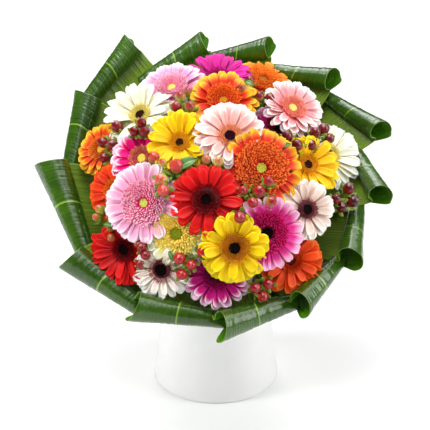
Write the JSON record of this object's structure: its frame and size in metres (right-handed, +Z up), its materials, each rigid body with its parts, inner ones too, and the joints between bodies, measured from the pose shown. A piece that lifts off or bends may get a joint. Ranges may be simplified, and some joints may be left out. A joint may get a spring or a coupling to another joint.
{
  "type": "gerbera bouquet in a vase",
  "caption": "Round bouquet of small gerberas and hypericum berries in a collar of folded aspidistra leaves, standing in a plain white vase that flares at the foot.",
  "frame": {"origin": "middle of the vase's flat base, at the height of the surface it stands on", "axes": "+Z up; -Y is the front, the side that the face of the bouquet leans towards; +X is to the right seen from the front"},
  "size_m": [0.3576, 0.2928, 0.3613],
  "materials": {
    "vase_ceramic": "satin plain white glaze",
    "water": "clear water",
    "stem_green": "satin fresh green stems",
    "raffia": "dry matt strands",
    "leaf_green": "glossy deep green with fine parallel veins",
    "disc_brown": "matt, velvety dark disc florets",
    "berry_dark": "glossy dark red berries",
    "berry_red": "glossy bright red berries",
    "berry_pale": "glossy berries, half green and half red",
    "petal_red": "soft satin petals",
    "petal_red_orange": "soft satin petals with yellow tips",
    "petal_shell_pink": "soft satin petals with white edges",
    "petal_pale_pink": "soft satin petals with white tips",
    "petal_plum_pink": "soft satin petals with light pink tips",
    "petal_lemon": "soft satin petals",
    "petal_golden": "soft satin petals",
    "petal_straw": "soft satin petals, curled",
    "petal_blush": "soft satin petals",
    "petal_cream": "soft satin petals",
    "petal_coral": "soft satin petals with yellow tips",
    "petal_purple_pink": "soft satin petals with pale tips",
    "petal_pink_tipped": "soft satin petals with white tips",
    "petal_orange": "soft satin petals",
    "petal_magenta": "soft satin petals",
    "petal_dark_pink": "soft satin petals with pink tips"
  },
  "bodies": {
    "root": {"berries_bottom": "berry_red", "berries_bottom_right": "berry_red", "berries_far_right": "berry_red", "berries_left": "berry_pale", "berries_lower_left": "berry_red", "berries_middle": "berry_pale", "berries_middle_left": "berry_pale", "berries_middle_right": "berry_red", "berries_right": "berry_dark", "berries_upper_left": "berry_dark", "berries_upper_middle": "berry_pale", "berries_upper_right": "berry_pale", "binding": "raffia", "bloom_01_cream": "petal_cream", "bloom_02_pale_pink": "petal_pale_pink", "bloom_03_magenta": "petal_magenta", "bloom_04_orange": "petal_orange", "bloom_05_shell_pink": "petal_shell_pink", "bloom_06_red_orange": "petal_red_orange", "bloom_07_shell_pink": "petal_shell_pink", "bloom_07_shell_pink_eye": "disc_brown", "bloom_08_golden": "petal_golden", "bloom_09_pink_tipped": "petal_pink_tipped", "bloom_10_coral": "petal_coral", "bloom_11_red_orange": "petal_red_orange", "bloom_12_pale_pink": "petal_pale_pink", "bloom_13_red": "petal_red", "bloom_13_red_eye": "disc_brown", "bloom_14_red_orange_double": "petal_red_orange", "bloom_15_golden": "petal_golden", "bloom_16_cream": "petal_cream", "bloom_17_dark_pink": "petal_dark_pink", "bloom_18_blush": "petal_blush", "bloom_18_blush_eye": "disc_brown", "bloom_19_plum_pink": "petal_plum_pink", "bloom_20_lemon": "petal_lemon", "bloom_20_lemon_eye": "disc_brown", "bloom_21_straw_double": "petal_straw", "bloom_22_red": "petal_red", "bloom_23_blush": "petal_blush", "bloom_23_blush_eye": "disc_brown", "bloom_24_purple_pink": "petal_purple_pink", "bloom_25_red_orange": "petal_coral", "bloom_26_red": "petal_red", "leaf_01": "leaf_green", "leaf_02": "leaf_green", "leaf_03": "leaf_green", "leaf_04": "leaf_green", "leaf_05": "leaf_green", "leaf_06": "leaf_green", "leaf_07": "leaf_green", "leaf_08": "leaf_green", "leaf_09": "leaf_green", "leaf_10": "leaf_green", "leaf_11": "leaf_green", "leaf_12": "leaf_green", "leaf_13": "leaf_green", "stems": "stem_green", "vase": "vase_ceramic", "water": "water"}
  },
  "joints": []
}
